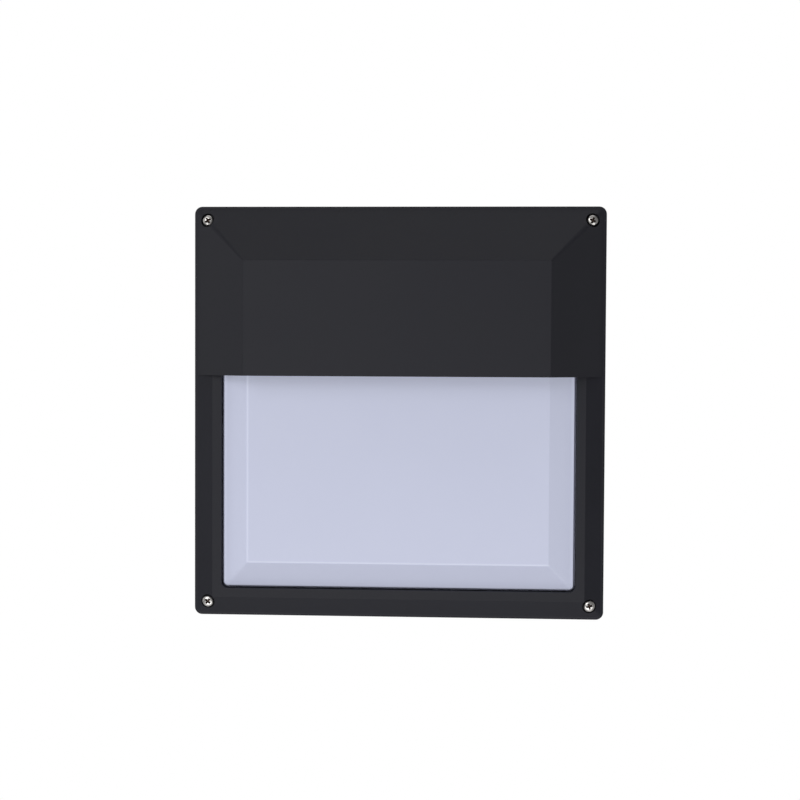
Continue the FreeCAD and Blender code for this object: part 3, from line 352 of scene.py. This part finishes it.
def sunk_recess(shape, rim, top, crown, mouth_corners, depth):
    """Closes a head's top with a crowned face that has a tapered driver recess sunk in it."""
    ring = bmesh.ops.create_circle(shape, cap_ends=False, radius=rim, segments=48)["verts"]
    bmesh.ops.translate(shape, verts=ring, vec=(0, 0, top))
    mouth = [shape.verts.new((across, up, top + crown)) for across, up in mouth_corners]
    sides = [shape.edges.new(pair) for pair in zip(mouth, mouth[1:] + mouth[:1])]
    ring_sides = list({edge for vert in ring for edge in vert.link_edges})
    bmesh.ops.triangle_fill(shape, use_beauty=True, edges=ring_sides + sides)
    walls = []
    for share, narrowing in ((0.6, 0.7), (0.4, 0.35)):
        sunk = bmesh.ops.extrude_edge_only(shape, edges=sides)["geom"]
        floor = [item for item in sunk if isinstance(item, bmesh.types.BMVert)]
        walls += [item for item in sunk if isinstance(item, bmesh.types.BMFace)]
        sides = [item for item in sunk if isinstance(item, bmesh.types.BMEdge)
                 and all(end in floor for end in item.verts)]
        bmesh.ops.scale(shape, verts=floor, vec=(narrowing, narrowing, 1))
        bmesh.ops.translate(shape, verts=floor, vec=(0, 0, -share * depth))
    walls += bmesh.ops.contextual_create(shape, geom=floor + sides)["faces"]
    # the recess walls and floor take the second slot, its painted shade
    for face in walls:
        face.material_index = 1


def pan_screw(head, height, shank, length, pitch):
    """A pan-head cross-recess machine screw: seat at height 0, head above it, shank below."""
    shape = bmesh.new()
    rim = 0.74 * head
    reach = 0.54 * head
    core = shank - 0.61 * pitch
    outline = [(0, -length), (core * 0.8, -length), (core, -length + 0.3 * shank), (core, -0.3 * shank),
               (core * 1.12, 0), (head * 0.96, 0), (head, 0.10 * height), (head, 0.42 * height),
               (head * 0.965, 0.64 * height), (head * 0.88, 0.82 * height), (rim, 0.94 * height)]
    turned(shape, outline)
    sunk_recess(shape, rim, 0.94 * height, 0.06 * height, cross_mouth(reach, 0.175 * head), 0.7 * height)
    thread(shape, core, shank, pitch, -length + 0.25 * shank, -0.12 * length)
    bmesh.ops.remove_doubles(shape, verts=shape.verts, dist=1e-6)
    return shape


def place_copies(name, shape, frames, body, slot, replaced):
    """One piece made of the shape set at every frame, standing for the replaced nodes."""
    whole = bmesh.new()
    source = bpy.data.meshes.new("source")
    bmesh.ops.recalc_face_normals(shape, faces=shape.faces)
    shape.to_mesh(source)
    shape.free()
    for place in frames:
        before = set(whole.verts)
        whole.from_mesh(source)
        bmesh.ops.transform(whole, matrix=place, verts=[vert for vert in whole.verts if vert not in before])
    bpy.data.meshes.remove(source)
    return finished(name, whole, body, slot, replaced)


def finished(name, shape, body, slot, replaced):
    """Turns a bmesh into a piece that rides on a body and takes a slot's finish."""
    mesh = bpy.data.meshes.new(name)
    shape.to_mesh(mesh)
    shape.free()
    for face in mesh.polygons:
        face.use_smooth = True
    mesh.set_sharp_from_angle(angle=SMOOTH_BELOW)
    mesh.materials.append(FINISHES[slot])
    # a second slot of painted shade for the recess faces
    if any(face.material_index for face in mesh.polygons):
        mesh.materials.append(RECESS_PAINTED_SHADE)
    piece = bpy.data.objects.new(name, mesh)
    bpy.context.scene.collection.objects.link(piece)
    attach(piece, body)
    if replaced:
        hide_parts(*replaced)
    return piece


def solids_of(node):
    """Boxes of a node's separate solids, as (low corner, high corner), in metres."""
    shape = bmesh.new()
    shape.from_mesh(nodes[node].data)
    bmesh.ops.remove_doubles(shape, verts=shape.verts, dist=1e-6)
    left = set(shape.verts)
    boxes = []
    while left:
        group, waiting = set(), [left.pop()]
        while waiting:
            vert = waiting.pop()
            group.add(vert)
            near = {link.other_vert(vert) for link in vert.link_edges} & left
            left -= near
            waiting.extend(near)
        spans = [[vert.co[axis] for vert in group] for axis in range(3)]
        boxes.append((Vector([min(span) for span in spans]), Vector([max(span) for span in spans])))
    shape.free()
    return sorted(boxes, key=lambda box: tuple(round(value, 5) for value in box[0]))


def facing(direction, seat, spin=0.0):
    """A frame at the seat whose Z points along the direction, turned by spin about it."""
    turn = Vector(direction).to_track_quat("Z", "Y").to_matrix().to_4x4()
    return Matrix.Translation(seat) @ turn @ Matrix.Rotation(spin, 4, "Z")


def screw_frames(node, direction, head_height):
    """Where each of a node's screws sits: under its head, on its own axis, each turned differently."""
    way = Vector(direction)
    frames = []
    for count, (low, high) in enumerate(solids_of(node)):
        middle = (low + high) / 2
        top = max(low.dot(way), high.dot(way))
        seat = middle + way * (top - head_height - middle.dot(way))
        frames.append(facing(way, seat, spin=0.7 + 1.9 * count))
    return frames


def body_of(node):
    return next(name for name, members in frame["record"]["behaviour"]["bodies"].items() if node in members)


# ---------------------------------------------------------------- screws

FRONT, BACK, LEFT, DOWN = (0, -1, 0), (0, 1, 0), (-1, 0, 0), (0, 0, -1)
CORNERS = ("top_left", "top_right", "bottom_left", "bottom_right")
COVER_HEAD, COVER_HEAD_TALL, M4_RADIUS, M4_PITCH = 3.9 * MM, 3.0 * MM, 2.0 * MM, 0.7 * MM
# how far each head has been turned, in radians
HEAD_TURNS = {"top_left": 0.55, "top_right": 1.15, "bottom_left": 0.9, "bottom_right": 0.25}


def cover_screws():
    """Stainless M4 screws that hold the cover, sunk in its corners."""
    for corner in CORNERS:
        node = f"cover_screw_{corner}"
        low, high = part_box(node)
        seat = Vector(((low.x + high.x) / 2, low.y + COVER_HEAD_TALL, (low.z + high.z) / 2))
        place = facing(FRONT, seat, HEAD_TURNS[corner])
        shape = pan_screw(COVER_HEAD, COVER_HEAD_TALL, M4_RADIUS, high.y - seat.y, M4_PITCH)
        place_copies(f"pan_screw_{corner}", shape, [place], node, "stainless", [node])


def small_screws():
    """Screws inside the lantern, all cross recessed."""
    # node, direction, head, height, shank, length, pitch
    kinds = [
        ("tray_screws", FRONT, 2.8, 1.8, 1.5, 5.7, 0.5),
        ("bracket_screws", FRONT, 3.9, 2.6, 2.0, 6.5, 0.7),
        ("earth_screw", FRONT, 3.9, 2.6, 2.0, 10.7, 0.7),
        ("terminal_block_screws", FRONT, 1.9, 1.4, 1.5, 9.0, 0.5),
        ("lampholder_fixing_screws", LEFT, 2.8, 1.8, 1.5, 5.0, 0.5),
        ("lampholder_terminal_screws", DOWN, 2.4, 1.9, 1.5, 5.6, 0.5),
        ("diffuser_screws", BACK, 2.6, 1.7, 1.5, 7.0, 0.5),
    ]
    for node, direction, head, height, shank, length, pitch in kinds:
        shape = pan_screw(head * MM, height * MM, shank * MM, length * MM, pitch * MM)
        frames = screw_frames(node, direction, height * MM)
        place_copies(f"cross_{node}", shape, frames, body_of(node), slot_of[node], [node])


def clamp_screws():
    """Slotted grub screws of the terminal block."""
    shape = bmesh.new()
    core, crest, tall = 1.33 * MM, 1.6 * MM, 4.8 * MM
    turned(shape, [(0, -tall), (core * 0.8, -tall), (core, 0.3 * MM - tall), (core, -0.9 * MM),
                   (crest, -0.6 * MM), (crest, -0.2 * MM), (crest - 0.2 * MM, 0)], steps=48)
    reach, half = 1.25 * MM, 0.22 * MM
    slot_corners = [(reach, -half), (reach, half), (-reach, half), (-reach, -half)]
    sunk_recess(shape, crest - 0.2 * MM, 0, 0, slot_corners, 0.9 * MM)
    thread(shape, core, crest, 0.5 * MM, 0.3 * MM - tall, -0.7 * MM)
    frames = screw_frames("terminal_screws", FRONT, 0)
    place_copies("slotted_terminal_screws", shape, frames, body_of("terminal_screws"), "zinc_steel",
                 ["terminal_screws"])


# ---------------------------------------------------------------- lamp and lampholder threads

EDISON_PITCH = 25.4 * MM / 7


def roll_thread(shape, low, high, depth, picked, outwards=False):
    """Rolls a rounded right-hand thread into the picked rings of a turned shell, fading at its ends."""
    for vert in shape.verts:
        radius = math.hypot(vert.co.x, vert.co.y)
        if not (low < vert.co.z < high and picked(radius)):
            continue
        fade = min(1, (vert.co.z - low) / EDISON_PITCH, (high - vert.co.z) / EDISON_PITCH)
        wave = 0.5 - 0.5 * math.cos(TURN * vert.co.z / EDISON_PITCH - math.atan2(vert.co.y, vert.co.x))
        moved = depth * wave * fade
        share = (radius + moved if outwards else radius - moved) / radius
        vert.co.x *= share
        vert.co.y *= share


def rings_between(radius, low, high, count):
    return [(radius, low + (high - low) * step / count) for step in range(count + 1)]


def lamp_cap():
    """The lamp's nickel-plated screw shell, with a rolled Edison thread."""
    low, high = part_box("lamp_cap")
    radius = (high.z - low.z) / 2
    tall = high.x - low.x
    outline = [(9.1 * MM, 0), (11.1 * MM, 0), (radius - 0.6 * MM, 1.0 * MM)]
    outline += rings_between(radius, 1.8 * MM, tall - 2.0 * MM, 44)
    outline += [(radius, tall), (radius - 0.8 * MM, tall), (radius - 0.8 * MM, tall - 1.0 * MM),
                (radius - 1.7 * MM, tall - 2.0 * MM), (radius - 1.7 * MM, 2.4 * MM), (9.1 * MM, 0.8 * MM),
                (9.1 * MM, 0)]
    shape = bmesh.new()
    turned(shape, outline, steps=72)
    roll_thread(shape, 1.5 * MM, tall - 2.5 * MM, 0.75 * MM, lambda reach: reach > radius - 0.1 * MM)
    place = facing((1, 0, 0), Vector((low.x, (low.y + high.y) / 2, (low.z + high.z) / 2)))
    place_copies("edison_cap", shape, [place], "lamp", "lamp_cap_metal", ["lamp_cap"])


def lampholder_sleeve():
    """Screw shell of the lampholder, threaded inside to match the cap."""
    low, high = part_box("lampholder_sleeve")
    outer = (high.z - low.z) / 2
    inner = outer - 0.8 * MM
    tall = high.x - low.x
    outline = [(outer, 0), (outer, tall), (inner + 0.1 * MM, tall)]
    outline += rings_between(inner, 0, tall - 0.3 * MM, 60)[::-1] + [(outer, 0)]
    shape = bmesh.new()
    turned(shape, outline, steps=72)
    roll_thread(shape, 0.5 * MM, tall - 0.5 * MM, 0.6 * MM, lambda reach: reach < inner + 0.05 * MM,
                outwards=True)
    place = facing((1, 0, 0), Vector((low.x, (low.y + high.y) / 2, (low.z + high.z) / 2)))
    place_copies("threaded_sleeve", shape, [place], "base", "lamp_cap_metal", ["lampholder_sleeve"])


def lamp_tip():
    """Domed solder contact at the lamp's tip."""
    low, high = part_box("lamp_contact")
    radius = (high.z - low.z) / 2
    shape = bmesh.new()
    outline = [(0, 0.03 * MM), (0.30 * radius, 0), (0.62 * radius, 0.08 * MM), (0.82 * radius, 0.32 * MM),
               (0.95 * radius, 0.75 * MM), (radius, 1.2 * MM), (radius, high.x - low.x), (0, high.x - low.x)]
    turned(shape, outline)
    place = facing((1, 0, 0), Vector((low.x, (low.y + high.y) / 2, (low.z + high.z) / 2)))
    place_copies("solder_contact", shape, [place], "lamp_tip", "tinned_copper", ["lamp_contact"])


# ---------------------------------------------------------------- cable grommet

def grommet():
    """Black rubber grommet of the rear cable hole: ribbed flange, snap waist and stepped nose."""
    low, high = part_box("cable_grommet")
    section = [(4.0, 0.8), (4.6, 0.25), (5.6, 0.2), (6.0, 0.6), (6.9, 0.6), (7.3, 0.2), (8.3, 0.2),
               (8.7, 0.6), (9.6, 0.6), (10.0, 0.2), (12.8, 0.2), (13.3, 0.6), (13.3, 1.55),
               (9.9, 1.6), (9.9, 5.5),
               (12.7, 5.5), (13.2, 5.9), (12.3, 7.2), (10.0, 8.9), (9.7, 9.7), (8.9, 10.0), (8.5, 11.0),
               (7.9, 11.3), (7.6, 12.3), (6.9, 12.6), (6.5, 13.5), (6.1, 14.0), (4.5, 14.0), (4.0, 13.5),
               (4.0, 0.8)]
    shape = bmesh.new()
    turned(shape, [(across * MM, depth * MM) for across, depth in section], steps=64)
    place = facing(FRONT, Vector(((low.x + high.x) / 2, 0, (low.z + high.z) / 2)))
    place_copies("cable_hole_grommet", shape, [place], "base", "black_rubber", ["cable_grommet"])


cover_screws()
small_screws()
clamp_screws()
lamp_cap()
lampholder_sleeve()
lamp_tip()
grommet()


# ---------------------------------------------------------------- stage, light and camera

# the cover's front rim, which the camera's distance is counted from
RIM_DEPTH = 0.070
CAMERA_PLACE = Vector((0.0461, -0.900 - RIM_DEPTH, 0.0356))
CAMERA_AIM = Vector((0.0011, -RIM_DEPTH, 0.0087))
CAMERA_ROLL = 0.005
CAMERA_LENS = 59.63
SENSOR_WIDTH = 36
FLOOR_DROP = 1.3
FLOOR_HALF = 3.2
# place, width, height and power of each light
SOFTBOXES = {
    "low": ((0.0, -1.4, -0.75), 1.6, 0.6, 6.4),
    "left": ((-1.8, -0.4, 0.2), 0.8, 1.4, 1.7),
    "high_left": ((-0.9, -1.9, 0.75), 0.8, 0.8, 5.0),
    "front_high": ((-0.4, -2.0, 0.45), 0.5, 0.5, 3.0),
    "top": ((0.0, -0.5, 1.6), 1.4, 0.8, 2.6),
}
SKY_LEVEL = 0.14
SKY_BEHIND = 0.9


def floor():
    """A plain pale floor well below the lantern."""
    shape = bmesh.new()
    bmesh.ops.create_grid(shape, x_segments=1, y_segments=1, size=FLOOR_HALF)
    bmesh.ops.translate(shape, verts=shape.verts, vec=(0, 0, cad_box[0][2] - FLOOR_DROP))
    mesh = bpy.data.meshes.new("floor")
    shape.to_mesh(mesh)
    shape.free()
    piece = bpy.data.objects.new("floor", mesh)
    bpy.context.scene.collection.objects.link(piece)

    def varying(point):
        return {"Base Color": point.noise(0.4).blend((0.80, 0.80, 0.80), (0.83, 0.83, 0.83))}
    mesh.materials.append(material("pale_floor", {"Roughness": 0.7}, varying))


def sky():
    """White all round to the eye; as a light it is dimmer, and brighter from behind the lantern."""
    world = bpy.data.worlds.new("white_studio")
    world.use_nodes = True
    bpy.context.scene.world = world
    tree = world.node_tree
    ground = tree.nodes["Background"]
    start = Shade(tree)
    seen = start.node("ShaderNodeLightPath", output="Is Camera Ray")
    direction = start.node("ShaderNodeTexCoord", output="Generated")
    behind = direction.axis(1).between([(0.0, 0.0), (1.0, 1.0)])
    glow = SKY_LEVEL + SKY_BEHIND * behind
    strength = seen + (1 - seen) * glow
    ground.inputs["Color"].default_value = (1, 1, 1, 1)
    tree.links.new(strength.socket, ground.inputs["Strength"])


def softboxes():
    """Rectangular lights round the front, all turned to the lantern."""
    for name, (place, width, height, power) in SOFTBOXES.items():
        light = bpy.data.lights.new(name, "AREA")
        light.shape = "RECTANGLE"
        light.size = width
        light.size_y = height
        light.energy = power
        lamp = bpy.data.objects.new(name, light)
        lamp.location = place
        lamp.rotation_euler = (-Vector(place)).to_track_quat("-Z", "Y").to_euler()
        bpy.context.scene.collection.objects.link(lamp)


def camera():
    lens = bpy.data.cameras.new("camera")
    lens.lens = CAMERA_LENS
    lens.sensor_width = SENSOR_WIDTH
    eye = bpy.data.objects.new("camera", lens)
    look = (CAMERA_AIM - CAMERA_PLACE).to_track_quat("-Z", "Y").to_matrix().to_4x4()
    eye.matrix_world = Matrix.Translation(CAMERA_PLACE) @ look @ Matrix.Rotation(CAMERA_ROLL, 4, "Z")
    bpy.context.scene.collection.objects.link(eye)
    bpy.context.scene.camera = eye


floor()
sky()
softboxes()
camera()
bpy.context.scene.view_settings.view_transform = "Standard"
